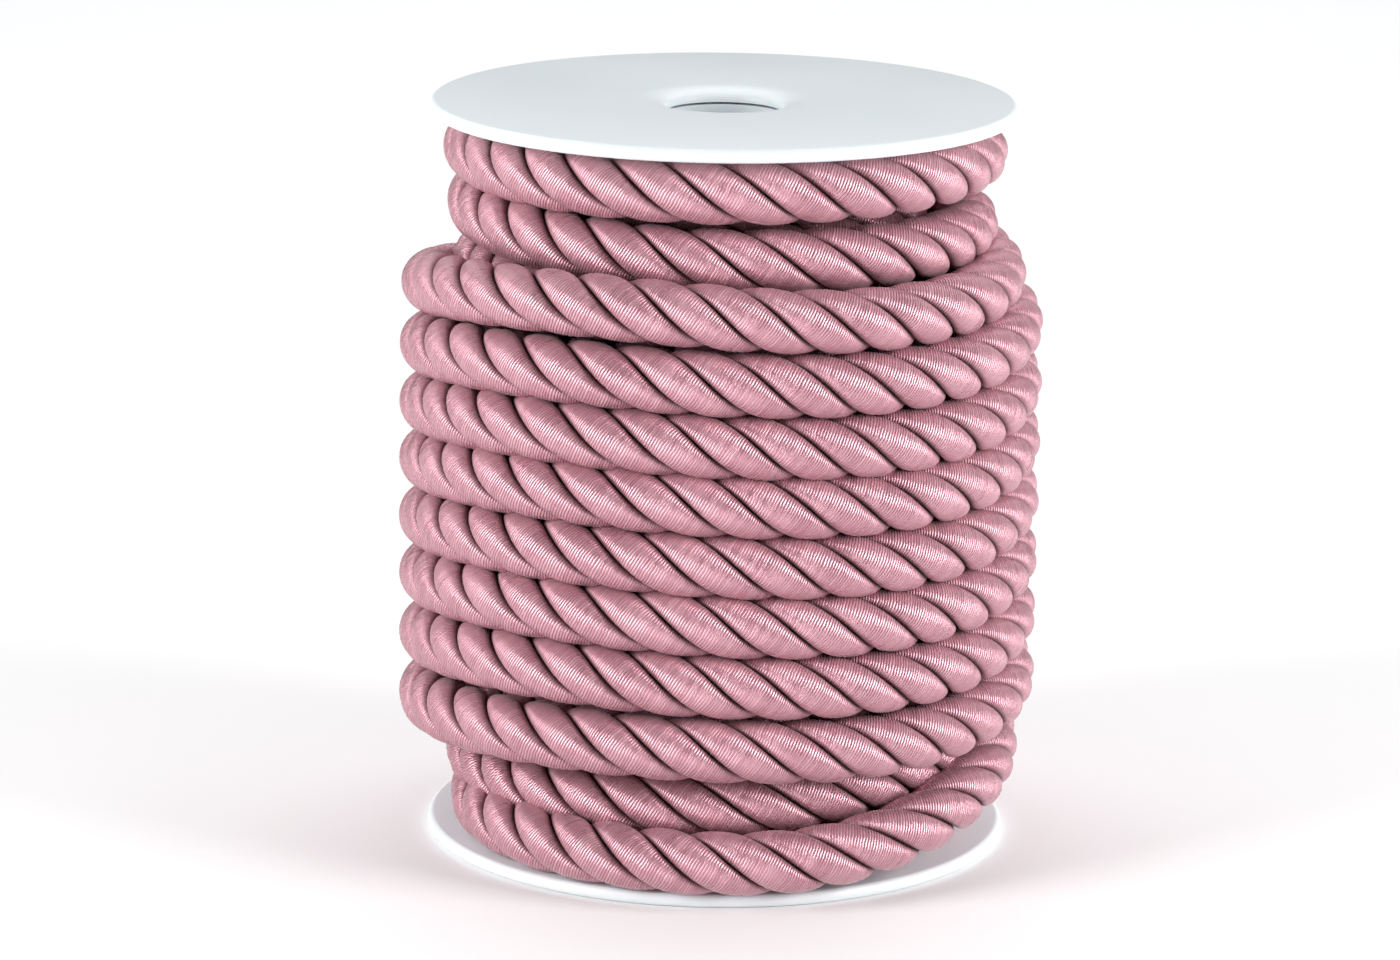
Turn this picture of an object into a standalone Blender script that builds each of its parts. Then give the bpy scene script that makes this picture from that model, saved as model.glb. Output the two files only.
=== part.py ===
"""Twisted satin cord trim wound in layers on a white plastic reel.

The reel is two round flanges on a hub with a spindle bore. The cord is laid in three strands with a
right-hand twist and is wound as one ribbon that climbs anticlockwise, seen from above. The winding is
one solid of its wound form: every visible turn is a ridge, and every strand of the cord is raised on it.
Units are metres, +Z is up, and the origin is the centre of the reel's base.
"""
import math

import bmesh
import bpy
from mathutils import Vector

MM = 0.001

# Reel
REEL_HEIGHT = 100.0 * MM
FLANGE_RADIUS = 39.0 * MM
FLANGE_THICKNESS = 1.8 * MM
RIM_ROUNDING = 0.8 * MM
BORE_RADIUS = 7.8 * MM
BORE_MOUTH_ROUNDING = 1.3 * MM
HUB_RADIUS = 12.0 * MM
GAP = 0.3 * MM
REEL_STEPS = 72

# Cord
CORD_RADIUS = 4.05 * MM
TWIST_GROOVE_RADIUS = 2.9 * MM
LOBES_PER_TURN = 34
STRANDS = 3

# Each row is one place on the cord's line: turns (whole at the front, a quarter less at the left),
# height and distance from the reel's axis.
CORD_LINE = (
    # turn, height_mm, radius_mm
    (-0.85, 6.2, 31.3),
    (-0.28, 6.2, 30.8),
    (-0.12, 6.2, 36.2),
    (0.00, 6.2, 39.0),
    (0.05, 6.5, 39.4),
    (0.10, 7.9, 39.2),
    (0.16, 10.4, 38.2),
    (0.25, 13.0, 36.8),
    (0.50, 15.4, 38.3),
    (0.75, 18.3, 38.9),
    (1.00, 20.3, 38.9),
    (2.00, 28.9, 38.9),
    (3.00, 37.0, 38.9),
    (4.00, 44.9, 38.9),
    (5.00, 52.9, 38.9),
    (6.00, 60.6, 38.9),
    (7.00, 68.7, 38.9),
    (7.75, 75.0, 38.6),
    (8.00, 77.4, 38.9),
    (8.15, 77.6, 37.6),
    (8.25, 77.9, 36.2),
    (8.50, 82.2, 33.0),
    (8.75, 86.2, 32.6),
    (9.00, 84.5, 32.6),
    (9.25, 83.9, 32.5),
    (9.50, 88.8, 32.6),
    (9.75, 93.7, 33.0),
    (10.00, 93.6, 33.3),
    (10.30, 93.7, 33.6),
)

# The layer below shows once, between the lowest turn and the outer layer.
INNER_LINE = (
    # turn of the cord below it, height_mm, radius_mm
    (-0.70, 11.0, 32.0),
    (-0.50, 11.2, 32.4),
    (-0.25, 10.6, 32.5),
    (0.00, 12.2, 32.8),
    (0.15, 14.0, 33.0),
)

# Outer turns rise quickly at the left and lie nearly level over the front.
TURN_LEAN = 1.1 * MM
TURN_SWAY = 1.4 * MM
SWAY_FROM_TURN = (0.6, 1.0)
SWAY_TO_TURN = (8.4, 8.0)

# Share of each turn's visible arc at which the ridge lines of the ribbon lie.
RIDGE_SHARES = (0.15, 0.38, 0.62, 0.85)
INNER_SHARES = (0.25, 0.5, 0.75)
TAPER_COLUMNS = 10

# The strands turn once about the cord in 2 * STRANDS columns, so a quarter twist is half of STRANDS.
COLUMNS_PER_TURN = 2 * LOBES_PER_TURN
QUARTER_TWIST = STRANDS / 2 / COLUMNS_PER_TURN
STEP_UP = COLUMNS_PER_TURN - STRANDS


def clear_scene():
    for item in list(bpy.data.objects):
        bpy.data.objects.remove(item, do_unlink=True)


def plain_material(name, colour, roughness):
    material = bpy.data.materials.new(name)
    material.use_nodes = True
    shader = material.node_tree.nodes["Principled BSDF"]
    shader.inputs["Base Color"].default_value = (*colour, 1.0)
    shader.inputs["Roughness"].default_value = roughness
    shader.inputs["Metallic"].default_value = 0.0
    material.diffuse_color = (*colour, 1.0)
    return material


def add_object(name, mesh_data, material, smooth_angle):
    mesh = bpy.data.meshes.new(name)
    bmesh.ops.recalc_face_normals(mesh_data, faces=mesh_data.faces)
    mesh_data.to_mesh(mesh)
    mesh_data.free()
    mesh.materials.append(material)
    mesh.shade_smooth()
    mesh.set_sharp_from_angle(angle=math.radians(smooth_angle))
    item = bpy.data.objects.new(name, mesh)
    bpy.context.scene.collection.objects.link(item)
    return item


def polar(radius, turn, height):
    """A point at a number of turns from the front, anticlockwise from above."""
    angle = 2 * math.pi * turn
    return Vector((radius * math.sin(angle), -radius * math.cos(angle), height))


def ramp(value, start, end):
    """0 before start, 1 after end, straight between; start may lie above end."""
    return min(1.0, max(0.0, (value - start) / (end - start)))


def slopes(knots):
    """Slope at each knot of a smooth curve that never overshoots its table."""
    steps = [(b[1] - a[1]) / (b[0] - a[0]) for a, b in zip(knots, knots[1:])]
    inner = [0.0 if a * b <= 0 else 2 * a * b / (a + b) for a, b in zip(steps, steps[1:])]
    return [steps[0], *inner, steps[-1]]


def curve_through(rows, column):
    """A smooth function of the turn through one column of a table, in metres."""
    knots = [(row[0], row[column] * MM) for row in rows]
    tangents = slopes(knots)

    def value(turn):
        turn = min(max(turn, knots[0][0]), knots[-1][0])
        last = len(knots) - 2
        place = next((k for k in range(last) if turn < knots[k + 1][0]), last)
        (t0, v0), (t1, v1) = knots[place], knots[place + 1]
        width = t1 - t0
        s = (turn - t0) / width
        rise = v1 - v0
        m0 = tangents[place] * width
        m1 = tangents[place + 1] * width
        return v0 + s * (m0 + s * (3 * rise - 2 * m0 - m1 + s * (m0 + m1 - 2 * rise)))

    return value


cord_height = curve_through(CORD_LINE, 1)
cord_distance = curve_through(CORD_LINE, 2)
inner_height = curve_through(INNER_LINE, 1)
inner_distance = curve_through(INNER_LINE, 2)


def cord_centre(turn):
    """Distance from the axis and height of the cord's centre line."""
    share = ramp(turn, *SWAY_FROM_TURN) * ramp(turn, *SWAY_TO_TURN)
    angle = 2 * math.pi * turn
    wave = TURN_LEAN * math.cos(angle) - TURN_SWAY * math.sin(2 * angle)
    return Vector((cord_distance(turn), cord_height(turn) + share * wave))


def inner_centre(turn):
    return Vector((inner_distance(turn), inner_height(turn)))


def turned_solid(name, profile, material):
    """A closed solid of revolution from a closed profile of (radius, height) points."""
    mesh_data = bmesh.new()
    rings = []
    for step in range(REEL_STEPS):
        rings.append([mesh_data.verts.new(polar(r, step / REEL_STEPS, z)) for r, z in profile])
    count = len(profile)
    for step, ring in enumerate(rings):
        after = rings[(step + 1) % REEL_STEPS]
        for k in range(count):
            mesh_data.faces.new((ring[k], ring[(k + 1) % count], after[(k + 1) % count], after[k]))
    return add_object(name, mesh_data, material, 40)


def arc(centre_radius, centre_height, rounding, start, end, steps):
    """Profile points on a quarter of rounding, angles in degrees from straight out."""
    points = []
    for k in range(steps + 1):
        angle = math.radians(start + (end - start) * k / steps)
        point = (centre_radius + rounding * math.cos(angle), centre_height + rounding * math.sin(angle))
        points.append(point)
    return points


def flange_profile():
    """Section of a flange lying on its inner face, softened at the rim and at the bore's mouth."""
    rim = FLANGE_RADIUS - RIM_ROUNDING
    mouth = BORE_RADIUS + BORE_MOUTH_ROUNDING
    top = FLANGE_THICKNESS
    return [
        (BORE_RADIUS, 0.0),
        *arc(rim, RIM_ROUNDING, RIM_ROUNDING, -90, 0, 3),
        *arc(rim, top - RIM_ROUNDING, RIM_ROUNDING, 0, 90, 3),
        *arc(mouth, top - BORE_MOUTH_ROUNDING, BORE_MOUTH_ROUNDING, 90, 180, 4),
    ]


def build_reel():
    white = plain_material("reel_white", (0.80, 0.86, 0.89), 0.45)
    profile = flange_profile()
    inner_face = REEL_HEIGHT - FLANGE_THICKNESS
    turned_solid("flange_top", [(r, inner_face + z) for r, z in profile], white)
    turned_solid("flange_bottom", [(r, FLANGE_THICKNESS - z) for r, z in profile], white)
    low = FLANGE_THICKNESS + GAP
    high = inner_face - GAP
    section = [(BORE_RADIUS, low), (HUB_RADIUS, low), (HUB_RADIUS, high), (BORE_RADIUS, high)]
    turned_solid("hub", section, white)


def column_turn(column):
    return CORD_LINE[0][0] + column / COLUMNS_PER_TURN


def ridge_radius(column):
    """The twist: every other column runs along a strand, the ones between lie in the grooves."""
    return CORD_RADIUS if column % 2 == 0 else TWIST_GROOVE_RADIUS


def ridge_points(centre_at, turn, low, high, shares, radius, lean):
    """Points over one turn's visible arc, from the groove below it to the groove above.

    The strands lean back as they climb the cord, so with lean a point's place along the cord depends
    on its angle on the cord.
    """
    centre = centre_at(turn)
    low_angle = math.atan2(low.y - centre.y, low.x - centre.x)
    high_angle = math.atan2(high.y - centre.y, high.x - centre.x)
    if low_angle > 0:
        low_angle -= 2 * math.pi
    if high_angle < 0:
        high_angle += 2 * math.pi
    points = []
    for share in shares:
        angle = low_angle + share * (high_angle - low_angle)
        quarters = max(-1.0, min(1.0, angle / (math.pi / 2)))
        place = turn - lean * quarters * QUARTER_TWIST
        here = centre_at(place)
        points.append(polar(here.x + radius * math.cos(angle), place, here.y + radius * math.sin(angle)))
    return points


def join_lines(mesh_data, line, after):
    """Faces between two neighbouring columns; points that only one has fan into the other's last ridge."""
    longer, shorter = (line, after) if len(line) >= len(after) else (after, line)
    last = len(longer) - 1
    partners = [shorter[min(k, len(shorter) - 2)] for k in range(last)] + [shorter[-1]]
    for k in range(last):
        corners = dict.fromkeys((longer[k], longer[k + 1], partners[k + 1], partners[k]))
        mesh_data.faces.new(list(corners))


def build_winding():
    """One ribbon of ridges, each turn's upper edge being the next turn's lower edge."""
    pink = plain_material("cord_pink", (0.60, 0.27, 0.33), 0.45)
    floor = FLANGE_THICKNESS + GAP
    ceiling = REEL_HEIGHT - FLANGE_THICKNESS - GAP
    last = round((CORD_LINE[-1][0] - CORD_LINE[0][0]) * COLUMNS_PER_TURN)
    mesh_data = bmesh.new()

    def lower_rim(column):
        """Where a column of the lowest turn meets the flange."""
        turn = column_turn(column) + QUARTER_TWIST
        return Vector((cord_centre(turn).x, floor))

    def upper_rim(column):
        """Where a column meets the turn above it or, on the last turn, the upper flange."""
        turn = column_turn(column) - QUARTER_TWIST
        below = cord_centre(turn)
        if column > last - STEP_UP:
            return Vector((below.x, ceiling))
        meeting = (below + cord_centre(turn + 1)) / 2
        share = ramp(column, last - STEP_UP - TAPER_COLUMNS, last - STEP_UP)
        return meeting.lerp(Vector((meeting.x, ceiling)), share)

    def held(point, column):
        """The ribbon starts flat on the lower flange and ends flat under the upper one."""
        start = ramp(column, 0, TAPER_COLUMNS)
        end = ramp(column, last, last - TAPER_COLUMNS)
        point.z = floor + (point.z - floor) * start
        point.z = ceiling - (ceiling - point.z) * end
        point.z = min(ceiling, max(floor, point.z))
        return mesh_data.verts.new(point)

    upper_edge = []
    for column in range(last + 1):
        rim = upper_rim(column)
        upper_edge.append(held(polar(rim.x, column_turn(column) - QUARTER_TWIST, rim.y), column))
    lower_edge = []
    for column in range(STEP_UP):
        rim = lower_rim(column)
        lower_edge.append(mesh_data.verts.new(polar(rim.x, column_turn(column) + QUARTER_TWIST, rim.y)))
    lower_edge += upper_edge

    before = None
    for column in range(last + 1):
        turn = column_turn(column)
        radius = ridge_radius(column)
        low = lower_rim(column) if column < STEP_UP else upper_rim(column - STEP_UP)
        high = upper_rim(column)
        inner_ridge = []
        if INNER_LINE[0][0] < turn < INNER_LINE[-1][0]:
            place = turn - QUARTER_TWIST
            meeting = (cord_centre(turn) + inner_centre(turn)) / 2
            inner_ridge = [polar(meeting.x, place, meeting.y)]
            inner_ridge += ridge_points(inner_centre, place, meeting, high, INNER_SHARES, radius, 0)
            high = meeting
        ridge = ridge_points(cord_centre, turn, low, high, RIDGE_SHARES, radius, 1)
        line = [held(point, column) for point in ridge + inner_ridge]
        line = [lower_edge[column], *line, upper_edge[column]]
        if before:
            join_lines(mesh_data, before, line)
        before = line

    close_ends(mesh_data, floor, ceiling)
    bmesh.ops.triangulate(mesh_data, faces=mesh_data.faces)
    return add_object("cord_winding", mesh_data, pink, 50)


def close_ends(mesh_data, floor, ceiling):
    """Flat ends and the wall round the hub."""
    bore = HUB_RADIUS + GAP
    loops = []
    for height in (floor, ceiling):
        ring = [mesh_data.verts.new(polar(bore, k / REEL_STEPS, height)) for k in range(REEL_STEPS)]
        loops.append([mesh_data.edges.new((a, b)) for a, b in zip(ring, ring[1:] + ring[:1])])
    bmesh.ops.bridge_loops(mesh_data, edges=loops[0] + loops[1])
    open_edges = [edge for edge in mesh_data.edges if edge.is_boundary]
    for height, ring in zip((floor, ceiling), loops):
        outline = [e for e in open_edges if all(abs(v.co.z - height) < 1e-7 for v in e.verts)]
        outline = [e for e in outline if e not in ring]
        bmesh.ops.bridge_loops(mesh_data, edges=outline + ring)


clear_scene()
build_reel()
build_winding()
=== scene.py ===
"""Thick three-strand satin cord, wound in close rows on an upright white plastic reel."""

import math

import bmesh
import bpy
from mathutils import Matrix, Vector


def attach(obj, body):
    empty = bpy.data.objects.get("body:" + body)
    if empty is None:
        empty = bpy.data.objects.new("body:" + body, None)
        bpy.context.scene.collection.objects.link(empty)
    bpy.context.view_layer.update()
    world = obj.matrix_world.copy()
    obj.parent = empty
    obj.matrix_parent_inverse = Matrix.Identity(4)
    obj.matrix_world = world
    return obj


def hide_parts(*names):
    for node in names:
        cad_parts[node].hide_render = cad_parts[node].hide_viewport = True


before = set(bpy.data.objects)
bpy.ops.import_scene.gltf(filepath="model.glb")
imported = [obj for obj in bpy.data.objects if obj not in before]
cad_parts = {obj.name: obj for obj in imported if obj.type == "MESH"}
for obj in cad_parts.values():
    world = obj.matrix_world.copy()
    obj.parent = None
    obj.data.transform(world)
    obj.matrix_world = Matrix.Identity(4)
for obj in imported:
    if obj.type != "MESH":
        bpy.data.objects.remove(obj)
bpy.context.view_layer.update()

MM = 0.001
TAU = 2 * math.pi

# The reel, the same sizes as its solids.
REEL_HEIGHT = 100.0 * MM
FLANGE_RADIUS = 39.0 * MM
FLANGE_THICKNESS = 1.8 * MM
RIM_ROUNDING = 0.8 * MM
BORE_RADIUS = 7.8 * MM
MOUTH_WIDTH = 4.2 * MM
MOUTH_DEPTH = 1.3 * MM
HUB_RADIUS = 12.0 * MM
GAP = 0.3 * MM
REEL_STEPS = 180
RIM_STEPS = 6
MOUTH_STEPS = 10
SHARP_ANGLE = math.radians(35)

# The cord: three wrapped strands, laid right-handed round each other. Each strand fills a third of the
# cord's section, with a round crest and steep walls where its neighbours press on it.
STRANDS = 3
CREST_RADIUS = 4.20 * MM
WALL_RADIUS = 2.90 * MM
HALF_ANGLE = math.radians(57.6)
CREST_SHARE = 0.80
CREST_FLATNESS = 2.3
WALL_TAPER = 0.9
LAY = 21.7 * MM
LINE_STEPS_PER_TURN = 120

# A strand's turning drifts by this angle, and its thickness varies from this share of its size.
UNEVENNESS = 0.5
DRIFT_PER_METRE = 22.0
PLUMP_PER_METRE = 110.0
PLUMP_FROM = 0.97
PLUMP_RANGE = 0.06

# What sets the strands and the layers apart.
STRAND_SEED = 3.7
LAYER_SEED = 20.0
LAYER_ANGLE = 0.6

# Fine threads wrapped across each strand.
THREAD_SPACING = 0.255 * MM
THREAD_LEAN = 1.34 * MM
THREAD_WAVER = 0.6
THREAD_RELIEF = 0.09 * MM
RIDGE_ROUNDNESS = 0.7
SLACK_ACROSS = 2.4
SLACK_ALONG = 0.40
# Painted shade on each strand's walls, where its neighbours press on it, fades out between these shares of
# its crest.
PAINTED_SHADE_CREST = (0.05, 0.74)

# Scales of the noise in the materials, in waves a metre.
WAVER_SCALE = 700.0
PATCH_SCALE = 160.0
BROAD_SCALE = 38.0
SKIN_SCALE = 2600.0
MARK_STRETCH = (260.0, 900.0, 260.0)
FLOOR_SCALE = 6.0

# Handling marks and skin on the plastic.
MARK_SCALE = 1.6
MARK_EDGE = (0.66, 0.74)
SKIN_RELIEF = 0.05 * MM

# Centre line of the outer rows: turn (whole at the front, a quarter less at the left), height_mm, radius_mm
CORD_LINE = (
    (-1.15, 6.2, 30.6),
    (-0.85, 6.2, 31.3),
    (-0.28, 6.2, 30.8),
    (-0.12, 6.2, 36.2),
    (0.00, 6.2, 39.0),
    (0.05, 6.5, 39.4),
    (0.10, 7.9, 39.2),
    (0.16, 10.4, 38.2),
    (0.25, 13.0, 36.8),
    (0.50, 15.4, 38.3),
    (0.75, 18.3, 38.9),
    (1.00, 20.3, 38.9),
    (2.00, 28.9, 38.9),
    (3.00, 37.0, 38.9),
    (4.00, 44.9, 38.9),
    (5.00, 52.9, 38.9),
    (6.00, 60.6, 38.9),
    (7.00, 68.7, 38.9),
    (7.75, 75.0, 38.6),
    (8.00, 77.4, 38.9),
    (8.15, 77.6, 37.6),
    (8.25, 77.9, 36.2),
    (8.50, 82.2, 33.0),
    (8.75, 86.2, 32.6),
    (9.00, 84.5, 32.6),
    (9.25, 83.9, 32.5),
    (9.50, 88.8, 32.6),
    (9.75, 93.7, 33.0),
    (10.00, 93.6, 33.3),
    (10.30, 93.7, 33.6),
    (10.50, 93.4, 31.0),
    (10.70, 92.0, 26.5),
)

# The layer below, which shows only between the lowest row and the outer rows.
INNER_LINE = (
    (-0.95, 8.0, 28.5),
    (-0.70, 11.0, 32.0),
    (-0.50, 11.2, 32.4),
    (-0.25, 10.6, 32.5),
    (0.00, 12.2, 32.8),
    (0.15, 14.0, 32.6),
    (0.50, 17.2, 31.2),
    (1.00, 21.4, 30.9),
    (7.00, 69.4, 30.9),
    (7.50, 73.8, 31.2),
    (7.75, 78.0, 31.8),
    (8.00, 76.6, 31.6),
    (8.20, 73.0, 28.5),
    (8.30, 71.5, 26.0),
)

# Hidden turns near the hub, which close the view between the rows.
CORE_LINE = (
    (0.00, 6.6, 23.4),
    (1.00, 10.6, 23.4),
    (10.00, 90.6, 23.4),
    (10.60, 93.4, 23.4),
)

# The outer rows lean and sway a little round each turn. That fades in and out over these turns.
TURN_LEAN = 1.1 * MM
TURN_SWAY = 1.4 * MM
SWAY_FROM_TURN = (0.6, 1.0)
SWAY_TO_TURN = (8.4, 8.0)

# Each layer's name, centre line, whether its rows sway, step along it and sides of a strand.
LAYERS = (
    ("outer", CORD_LINE, True, 0.9 * MM, 24),
    ("inner", INNER_LINE, False, 1.4 * MM, 14),
    ("hidden", CORE_LINE, False, 2.0 * MM, 12),
)

# The floor reaches this far each way, in metres.
FLOOR_REACH = 3.0

# Each softbox's name, place, target and size in metres, power in watts and colour.
REEL_MIDDLE = (0.0, 0.0, 0.05)
WARM_WHITE = (1.0, 0.99, 0.985)
COOL_WHITE = (0.98, 0.99, 1.0)
SOFTBOXES = (
    ("left_softbox", (-0.52, -0.30, 0.20), REEL_MIDDLE, (0.26, 0.42), 4.2, WARM_WHITE),
    ("right_softbox", (0.54, -0.24, 0.20), REEL_MIDDLE, (0.26, 0.42), 4.2, WARM_WHITE),
    ("rear_softbox", (0.0, 0.75, 0.85), (0.0, 0.55, 0.0), (1.8, 1.0), 11.0, COOL_WHITE),
)

# The room round it: bright to the sides, dark before and behind.
ROOM_DEPTH_SHARE = 0.6
ROOM_EDGE = (-0.1, 0.5)
ROOM_STRENGTH = 0.45

# The camera, fitted to the outlines of both flanges in the photo. Sensor and lens are in millimetres.
CAMERA_ELEVATION = math.radians(13.36)
CAMERA_DISTANCE = 754.0 * MM
CAMERA_TARGET = Vector((0.0, 0.0, 50.05 * MM))
CAMERA_YAW = 0.0034
CAMERA_PITCH = -0.0027
CAMERA_ROLL = math.radians(0.8)
CAMERA_SENSOR = 36.0
CAMERA_LENS = 144.0
CAMERA_NEAR = 10.0 * MM


# Node trees written as expressions


def pick(sockets, key):
    """A socket by place, identifier or name."""
    if isinstance(key, int):
        return sockets[key]
    return next((s for s in sockets if s.identifier == key), None) or sockets[key]


class Wire:
    """An output socket; arithmetic on it adds Math nodes to its tree."""

    def __init__(self, board, socket):
        self.board = board
        self.socket = socket

    def math(self, operation, *others):
        return self.board.math(operation, self, *others)

    def __add__(self, other):
        return self.math("ADD", other)

    def __mul__(self, other):
        return self.math("MULTIPLY", other)

    def __sub__(self, other):
        return self.math("SUBTRACT", other)

    def __rsub__(self, other):
        return self.board.math("SUBTRACT", other, self)

    def __truediv__(self, other):
        return self.math("DIVIDE", other)

    def __rtruediv__(self, other):
        return self.board.math("DIVIDE", other, self)

    def __pow__(self, other):
        return self.math("POWER", other)

    __radd__ = __add__
    __rmul__ = __mul__


class Board:
    """A node tree that is filled from Python."""

    def __init__(self, tree):
        self.tree = tree

    def node(self, kind, settings=None, sockets=None, out=0):
        made = self.tree.nodes.new(kind)
        for name, value in (settings or {}).items():
            setattr(made, name, value)
        for key, value in (sockets or {}).items():
            place = pick(made.inputs, key)
            if isinstance(value, Wire):
                self.tree.links.new(value.socket, place)
            else:
                place.default_value = value
        return Wire(self, pick(made.outputs, out)) if len(made.outputs) else None

    def math(self, operation, *values):
        return self.node("ShaderNodeMath", {"operation": operation}, dict(enumerate(values)))

    def vector(self, operation, *values):
        return self.node("ShaderNodeVectorMath", {"operation": operation}, dict(enumerate(values)))

    def scaled(self, vector, factor):
        return self.node("ShaderNodeVectorMath", {"operation": "SCALE"}, {0: vector, "Scale": factor})

    def mixed(self, factor, first, second):
        sockets = {"Factor_Float": factor, "A_Color": first, "B_Color": second}
        return self.node("ShaderNodeMix", {"data_type": "RGBA"}, sockets, "Result_Color")

    def step(self, value, low, high):
        """A soft step from 0 at low to 1 at high."""
        sockets = {"Value": value, "From Min": low, "From Max": high}
        return self.node("ShaderNodeMapRange", {"interpolation_type": "SMOOTHSTEP"}, sockets)

    def noise(self, place, scale, detail=2.0):
        return self.node("ShaderNodeTexNoise", None, {"Vector": place, "Scale": scale, "Detail": detail})


def colour(red, green, blue):
    return (red, green, blue, 1.0)


def start_material(name, constants):
    """An empty Principled material, with what is the same all over it set on its sockets."""
    material = bpy.data.materials.new(name)
    material.use_nodes = True
    material.node_tree.nodes.clear()
    board = Board(material.node_tree)
    surface = board.node("ShaderNodeBsdfPrincipled", None, constants)
    board.node("ShaderNodeOutputMaterial", None, {"Surface": surface})
    return material, board, surface.socket.node.inputs


def finish_material(board, inputs, values):
    for name, wire in values.items():
        board.tree.links.new(wire.socket, inputs[name])


# Materials


def satin_thread():
    """Rose satin threads wrapped across a strand, one rounded ridge a thread, with painted shade in the gaps
    between threads and on the strand's walls.
    """
    constants = {
        "Metallic": 0.50,
        "Sheen Weight": 0.20,
        "Sheen Roughness": 0.35,
        "Sheen Tint": colour(1.0, 0.88, 0.90),
        "Specular IOR Level": 0.60,
    }
    material, board, inputs = start_material("satin_thread", constants)
    along, across, crest = (
        board.node("ShaderNodeAttribute", {"attribute_name": name}, None, "Fac")
        for name in ("along", "across", "crest")
    )
    place = board.node("ShaderNodeTexCoord", None, None, "Object")
    waver = board.noise(place, WAVER_SCALE, 1.0) - 0.5
    count = (along + across * THREAD_LEAN) * (1 / THREAD_SPACING) + waver * THREAD_WAVER
    number = count.math("FLOOR")
    own = board.node("ShaderNodeTexWhiteNoise", {"noise_dimensions": "1D"}, {"W": number}, "Value")
    from_middle = count.math("FRACT") * 2 - 1
    ridge = (1 - from_middle * from_middle) ** RIDGE_ROUNDNESS
    run = board.node("ShaderNodeCombineXYZ", None, {"X": across * SLACK_ACROSS, "Y": number * SLACK_ALONG})
    slack = board.noise(run, 1.0, 2.0)
    patch = board.noise(place, PATCH_SCALE, 3.0)
    # Painted shade: a mask that is 1 on the strand's walls and fades to 0 up its crest.
    painted_crease_shade = 1 - board.step(crest, *PAINTED_SHADE_CREST)

    pale = colour(0.74, 0.41, 0.47)
    rose = colour(0.50, 0.225, 0.28)
    # A dark wine colour, used only as painted shade in the gaps between threads and on the strand's walls.
    shade_wine = colour(0.10, 0.030, 0.034)
    tone = board.mixed(own * 0.5 + patch * 0.7 - 0.1, rose, pale)
    # Painted shade in the gaps between the thread ridges.
    between = board.mixed(ridge * 0.6 + 0.4, shade_wine, tone)
    # Painted shade in the creases between strands, mixed towards the dark wine colour.
    shaded = board.mixed(painted_crease_shade * 0.9, between, shade_wine)
    height = ridge * (own * 0.5 + 0.9) + slack * 1.5
    raised = board.node(
        "ShaderNodeBump", None, {"Strength": 0.9, "Distance": THREAD_RELIEF, "Height": height}, "Normal"
    )
    rough = 0.22 + own * 0.10 + patch * 0.10 + painted_crease_shade * 0.3
    finish_material(board, inputs, {"Base Color": shaded, "Roughness": rough, "Normal": raised})
    return material


def moulded_plastic():
    """Smooth white moulded plastic, faintly blue, with a fine skin and a few handling marks."""
    constants = {"Specular IOR Level": 0.45, "Subsurface Weight": 0.08, "Subsurface Scale": 1.5 * MM}
    material, board, inputs = start_material("moulded_white", constants)
    place = board.node("ShaderNodeTexCoord", None, None, "Object")
    broad = board.noise(place, BROAD_SCALE, 3.0)
    skin = board.noise(place, SKIN_SCALE, 2.0)
    drawn_out = board.node("ShaderNodeMapping", None, {"Vector": place, "Scale": MARK_STRETCH})
    marks = board.step(board.noise(drawn_out, MARK_SCALE, 4.0), *MARK_EDGE)
    tone = board.mixed(broad, colour(0.70, 0.765, 0.79), colour(0.74, 0.785, 0.80))
    marked = board.mixed(marks * 0.10, tone, colour(0.60, 0.63, 0.65))
    rough = 0.34 + broad * 0.12 + marks * 0.12
    height = skin * 0.5 + broad * 0.8 - marks * 0.4
    raised = board.node(
        "ShaderNodeBump", None, {"Strength": 0.25, "Distance": SKIN_RELIEF, "Height": height}, "Normal"
    )
    finish_material(board, inputs, {"Base Color": marked, "Roughness": rough, "Normal": raised})
    return material


# The reel


def polar(radius, turn, height):
    """A point round the reel's axis; a whole turn is at the front."""
    angle = TAU * turn
    return Vector((radius * math.sin(angle), -radius * math.cos(angle), height))


def arc(centre, width, depth, start, end, steps):
    """Profile points on part of an ellipse, angles in degrees from straight out."""
    points = []
    for k in range(steps + 1):
        angle = math.radians(start + (end - start) * k / steps)
        points.append((centre[0] + width * math.cos(angle), centre[1] + depth * math.sin(angle)))
    return points


def add_piece(name, mesh, node):
    """A finished piece, standing in for a node of the part."""
    piece = bpy.data.objects.new(name, mesh)
    bpy.context.scene.collection.objects.link(piece)
    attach(piece, "root")
    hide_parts(node)


def turned(name, profile, material, node):
    """A closed piece of revolution from a closed profile of (radius, height) points."""
    shape = bmesh.new()
    rings = []
    for step in range(REEL_STEPS):
        rings.append([shape.verts.new(polar(r, step / REEL_STEPS, z)) for r, z in profile])
    count = len(profile)
    for step, ring in enumerate(rings):
        after = rings[(step + 1) % REEL_STEPS]
        for k in range(count):
            shape.faces.new((ring[k], ring[(k + 1) % count], after[(k + 1) % count], after[k]))
    bmesh.ops.recalc_face_normals(shape, faces=shape.faces)
    mesh = bpy.data.meshes.new(name)
    shape.to_mesh(mesh)
    shape.free()
    mesh.shade_smooth()
    mesh.set_sharp_from_angle(angle=SHARP_ANGLE)
    mesh.materials.append(material)
    add_piece(name, mesh, node)


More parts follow.
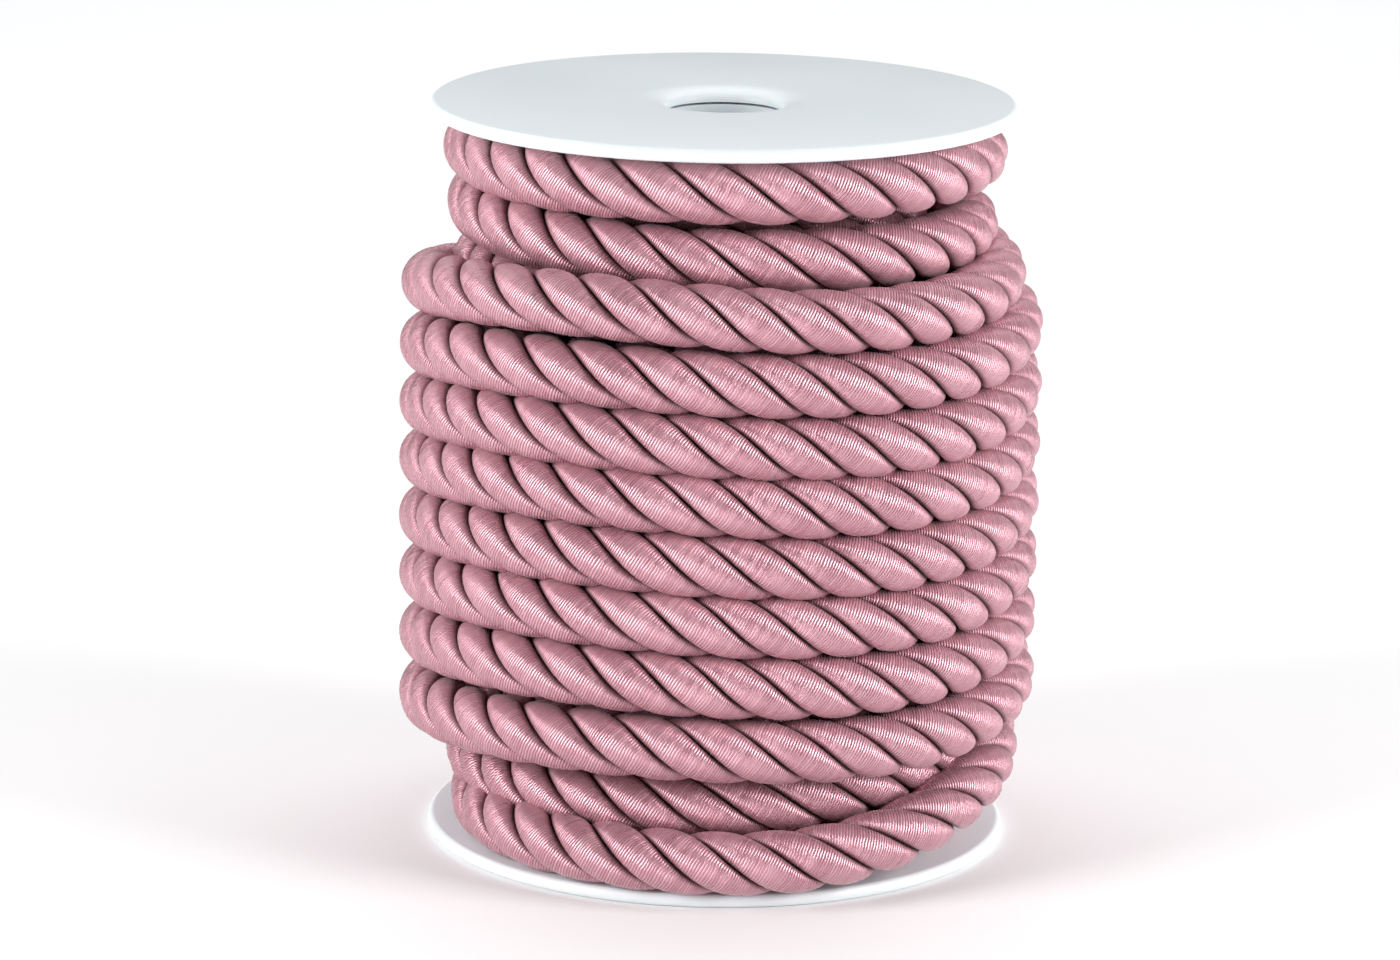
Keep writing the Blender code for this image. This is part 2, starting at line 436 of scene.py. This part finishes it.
def flange_profile():
    """Section of a flange lying on its inner face."""
    rim = FLANGE_RADIUS - RIM_ROUNDING
    top = FLANGE_THICKNESS
    return [
        (BORE_RADIUS, 0.0),
        (HUB_RADIUS, 0.0),
        *arc((rim, RIM_ROUNDING), RIM_ROUNDING, RIM_ROUNDING, -90, 0, RIM_STEPS),
        *arc((rim, top - RIM_ROUNDING), RIM_ROUNDING, RIM_ROUNDING, 0, 90, RIM_STEPS),
        *arc((BORE_RADIUS + MOUTH_WIDTH, top - MOUTH_DEPTH), MOUTH_WIDTH, MOUTH_DEPTH, 90, 180, MOUTH_STEPS),
    ]


def build_reel(white):
    profile = flange_profile()
    inner_face = REEL_HEIGHT - FLANGE_THICKNESS
    turned("reel_flange_top", [(r, inner_face + z) for r, z in profile], white, "flange_top")
    turned("reel_flange_bottom", [(r, FLANGE_THICKNESS - z) for r, z in profile], white, "flange_bottom")
    low = FLANGE_THICKNESS + GAP
    high = inner_face - GAP
    section = [(BORE_RADIUS, low), (HUB_RADIUS, low), (HUB_RADIUS, high), (BORE_RADIUS, high)]
    turned("reel_tube", section, white, "hub")


# The cord's centre lines


def ramp(value, start, end):
    """How far a value has gone from start to end, held between 0 and 1."""
    return min(1.0, max(0.0, (value - start) / (end - start)))


def slopes(knots):
    """Slope at each knot of a smooth curve that never overshoots its table."""
    steps = [(b[1] - a[1]) / (b[0] - a[0]) for a, b in zip(knots, knots[1:])]
    inner = [0.0 if a * b <= 0 else 2 * a * b / (a + b) for a, b in zip(steps, steps[1:])]
    return [steps[0], *inner, steps[-1]]


def curve_through(rows, column):
    """A smooth function of the turn through one column of a table, in metres."""
    knots = [(row[0], row[column] * MM) for row in rows]
    tangents = slopes(knots)

    def value(turn):
        last = len(knots) - 2
        place = next((k for k in range(last) if turn < knots[k + 1][0]), last)
        (t0, v0), (t1, v1) = knots[place], knots[place + 1]
        width = t1 - t0
        s = (turn - t0) / width
        rise = v1 - v0
        m0 = tangents[place] * width
        m1 = tangents[place + 1] * width
        return v0 + s * (m0 + s * (3 * rise - 2 * m0 - m1 + s * (m0 + m1 - 2 * rise)))

    return value


def centre_points(rows, swaying):
    """Points along a centre line, a fixed number to each turn."""
    height_at = curve_through(rows, 1)
    radius_at = curve_through(rows, 2)
    first = rows[0][0]
    count = round((rows[-1][0] - first) * LINE_STEPS_PER_TURN)
    points = []
    for k in range(count + 1):
        turn = first + k / LINE_STEPS_PER_TURN
        share = ramp(turn, *SWAY_FROM_TURN) * ramp(turn, *SWAY_TO_TURN) if swaying else 0.0
        wave = TURN_LEAN * math.cos(TAU * turn) - TURN_SWAY * math.sin(2 * TAU * turn)
        points.append(polar(radius_at(turn), turn, height_at(turn) + share * wave))
    return points


def line_mesh(name, points):
    """A mesh of edges alone, through a row of points."""
    mesh = bpy.data.meshes.new(name)
    mesh.from_pydata(points, [(k, k + 1) for k in range(len(points) - 1)], [])
    return mesh


# The strands


def start_tree(name, inputs):
    """A Geometry Nodes tree with named inputs; returns its board and the inputs' wires."""
    tree = bpy.data.node_groups.new(name, "GeometryNodeTree")
    tree.interface.new_socket("Geometry", in_out="OUTPUT", socket_type="NodeSocketGeometry")
    for label, kind in (("Geometry", "Geometry"), *inputs):
        tree.interface.new_socket(label, in_out="INPUT", socket_type="NodeSocket" + kind)
    board = Board(tree)
    source = tree.nodes.new("NodeGroupInput")
    return board, {s.name: Wire(board, s) for s in source.outputs if s.name}


def store(board, geometry, name, value):
    """The geometry with a number kept on each of its points, for the material to read."""
    sockets = {"Geometry": geometry, "Name": name, "Value": value}
    return board.node("GeometryNodeStoreNamedAttribute", {"data_type": "FLOAT"}, sockets)


def strand_tree():
    """One strand of a cord: its third of the section, swept and turned along the cord's centre line."""
    inputs = (
        ("Lay", "Float"),
        ("Start Angle", "Float"),
        ("Crest Radius", "Float"),
        ("Wall Radius", "Float"),
        ("Half Angle", "Float"),
        ("Flatness", "Float"),
        ("Step", "Float"),
        ("Sides", "Int"),
        ("Unevenness", "Float"),
        ("Seed", "Float"),
        ("Material", "Material"),
    )
    board, given = start_tree("laid_strand", inputs)
    line = board.node("GeometryNodeMeshToCurve", None, {"Mesh": given["Geometry"]})
    spacing = {"Curve": line, "Length": given["Step"]}
    line = board.node("GeometryNodeResampleCurve", {"mode": "LENGTH"}, spacing)
    along = board.node("GeometryNodeSplineParameter", None, None, "Length")
    place = board.node("GeometryNodeInputPosition")

    # The strand turns round the centre line once a lay, a little unevenly.
    drifting = {"W": along * DRIFT_PER_METRE, "Scale": 1.0}
    drift = board.node("ShaderNodeTexNoise", {"noise_dimensions": "1D"}, drifting)
    angle = given["Start Angle"] - along * TAU / given["Lay"] + (drift - 0.5) * given["Unevenness"]
    forward = board.node("GeometryNodeInputTangent")
    flat = board.vector("MULTIPLY", place, (1.0, 1.0, 0.0))
    upward = board.vector("NORMALIZE", board.vector("CROSS_PRODUCT", flat, forward))
    outward = board.vector("CROSS_PRODUCT", forward, upward)
    crest_way = board.vector(
        "ADD", board.scaled(outward, angle.math("COSINE")), board.scaled(upward, angle.math("SINE"))
    )
    line = board.node("GeometryNodeSetCurveNormal", {"mode": "FREE"}, {"Curve": line, "Normal": crest_way})
    line = store(board, line, "along", along)
    plump = board.node("ShaderNodeCombineXYZ", None, {"X": along * PLUMP_PER_METRE, "Y": given["Seed"]})
    thickness = PLUMP_FROM + board.noise(plump, 1.0) * PLUMP_RANGE

    # The section: a crest between two walls that run in to the cord's middle.
    ring = {"Resolution": given["Sides"], "Radius": 1.0}
    section = board.node("GeometryNodeCurvePrimitiveCircle", None, ring)
    side = board.node("GeometryNodeSplineParameter", None, None, "Factor") * 2 - 1
    reach = side.math("ABSOLUTE")
    crest_part = (reach / CREST_SHARE).math("MINIMUM", 1.0)
    spread = (crest_part * (math.pi / 2)).math("SINE")
    rise = (1 - spread ** given["Flatness"]).math("MAXIMUM", 0.0) ** 0.5
    wall_part = ((reach - CREST_SHARE) / (1 - CREST_SHARE)).math("MAXIMUM", 0.0)
    wall = given["Wall Radius"]
    radius = wall * (1 - wall_part * WALL_TAPER) + (given["Crest Radius"] - wall) * rise
    turned_by = side.math("SIGN") * spread * given["Half Angle"]
    point = board.node(
        "ShaderNodeCombineXYZ",
        None,
        {"X": radius * turned_by.math("COSINE"), "Y": radius * turned_by.math("SINE")},
    )
    section = store(board, section, "across", turned_by)
    section = store(board, section, "crest", rise)
    section = board.node("GeometryNodeSetPosition", None, {"Geometry": section, "Position": point})

    skin = board.node(
        "GeometryNodeCurveToMesh",
        None,
        {"Curve": line, "Profile Curve": section, "Scale": thickness, "Fill Caps": True},
    )
    skin = board.node("GeometryNodeSetShadeSmooth", None, {"Geometry": skin})
    skin = board.node("GeometryNodeRealizeInstances", None, {"Geometry": skin})
    skin = board.node("GeometryNodeSetMaterial", None, {"Geometry": skin, "Material": given["Material"]})
    board.node("NodeGroupOutput", None, {"Geometry": skin})
    return board.tree


def grown(name, base, tree, values):
    """The plain mesh that a tree makes from a base mesh."""
    carrier = bpy.data.objects.new(name + "_base", base)
    modifier = carrier.modifiers.new("grow", "NODES")
    modifier.node_group = tree
    for item in tree.interface.items_tree:
        if item.in_out == "INPUT" and item.name in values:
            modifier[item.identifier] = values[item.name]
    bpy.context.scene.collection.objects.link(carrier)
    graph = bpy.context.evaluated_depsgraph_get()
    mesh = bpy.data.meshes.new_from_object(
        carrier.evaluated_get(graph), preserve_all_data_layers=True, depsgraph=graph
    )
    carrier.modifiers.remove(modifier)
    bpy.data.objects.remove(carrier)
    mesh.name = name
    return mesh


def build_cord(satin):
    tree = strand_tree()
    sizes = {
        "Lay": LAY,
        "Crest Radius": CREST_RADIUS,
        "Wall Radius": WALL_RADIUS,
        "Half Angle": HALF_ANGLE,
        "Flatness": CREST_FLATNESS,
        "Unevenness": UNEVENNESS,
        "Material": satin,
    }
    for layer, (name, rows, swaying, step, sides) in enumerate(LAYERS):
        points = centre_points(rows, swaying)
        for number in range(STRANDS):
            own = {
                "Start Angle": TAU * number / STRANDS + LAYER_ANGLE * layer,
                "Seed": STRAND_SEED * number + LAYER_SEED * layer,
                "Step": step,
                "Sides": sides,
            }
            piece_name = f"{name}_strand_{number + 1}"
            mesh = grown(piece_name, line_mesh(name + "_line", points), tree, sizes | own)
            add_piece(piece_name, mesh, "cord_winding")


# Floor, light and camera


def add_floor():
    shape = bmesh.new()
    low, high = -FLOOR_REACH, FLOOR_REACH
    corners = ((low, low), (high, low), (high, high), (low, high))
    shape.faces.new([shape.verts.new((x, y, 0.0)) for x, y in corners])
    mesh = bpy.data.meshes.new("pale_floor")
    shape.to_mesh(mesh)
    shape.free()
    material, board, inputs = start_material("pale_paper", {"Specular IOR Level": 0.1})
    place = board.node("ShaderNodeTexCoord", None, None, "Object")
    broad = board.noise(place, FLOOR_SCALE, 2.0)
    tone = board.mixed(broad, colour(0.90, 0.90, 0.90), colour(0.93, 0.93, 0.93))
    finish_material(board, inputs, {"Base Color": tone, "Roughness": broad * 0.05 + 0.8})
    mesh.materials.append(material)
    floor = bpy.data.objects.new("pale_floor", mesh)
    bpy.context.scene.collection.objects.link(floor)


def add_softbox(name, place, target, size, power, tint):
    data = bpy.data.lights.new(name, "AREA")
    data.shape = "RECTANGLE"
    data.size, data.size_y = size
    data.energy = power
    data.color = tint
    lamp = bpy.data.objects.new(name, data)
    lamp.location = place
    lamp.rotation_euler = (Vector(target) - Vector(place)).to_track_quat("-Z", "Y").to_euler()
    bpy.context.scene.collection.objects.link(lamp)


def add_lights():
    """A softbox at each side, a broad dim one over the floor behind, and the room's own light."""
    for softbox in SOFTBOXES:
        add_softbox(*softbox)
    world = bpy.data.worlds.new("studio")
    bpy.context.scene.world = world
    world.use_nodes = True
    world.node_tree.nodes.clear()
    board = Board(world.node_tree)
    direction = board.node("ShaderNodeTexCoord", None, None, "Generated")
    side = board.node("ShaderNodeSeparateXYZ", None, {"Vector": direction}, "X").math("ABSOLUTE")
    depth = board.node("ShaderNodeSeparateXYZ", None, {"Vector": direction}, "Y").math("ABSOLUTE")
    open_side = board.step(side - depth * ROOM_DEPTH_SHARE, *ROOM_EDGE)
    tone = board.mixed(open_side, colour(0.16, 0.15, 0.15), colour(0.97, 0.98, 1.0))
    glow = board.node("ShaderNodeBackground", None, {"Color": tone, "Strength": ROOM_STRENGTH})
    board.node("ShaderNodeOutputWorld", None, {"Surface": glow})
    bpy.context.scene.view_settings.view_transform = "Standard"


def add_camera():
    back = Vector((0.0, -math.cos(CAMERA_ELEVATION), math.sin(CAMERA_ELEVATION)))
    right = Vector((1.0, 0.0, 0.0))
    up = back.cross(right)
    yaw = Matrix.Rotation(CAMERA_YAW, 3, up)
    right, away = yaw @ right, yaw @ back
    pitch = Matrix.Rotation(CAMERA_PITCH, 3, right)
    up, away = pitch @ up, pitch @ away
    roll = Matrix.Rotation(CAMERA_ROLL, 3, away)
    right, up = roll @ right, roll @ up
    data = bpy.data.cameras.new("camera")
    data.sensor_width = CAMERA_SENSOR
    data.lens = CAMERA_LENS
    data.clip_start = CAMERA_NEAR
    camera = bpy.data.objects.new("camera", data)
    place = Matrix((right, up, away)).transposed().to_4x4()
    place.translation = CAMERA_TARGET + back * CAMERA_DISTANCE
    camera.matrix_world = place
    bpy.context.scene.collection.objects.link(camera)
    bpy.context.scene.camera = camera


add_camera()
add_floor()
add_lights()
build_reel(moulded_plastic())
build_cord(satin_thread())
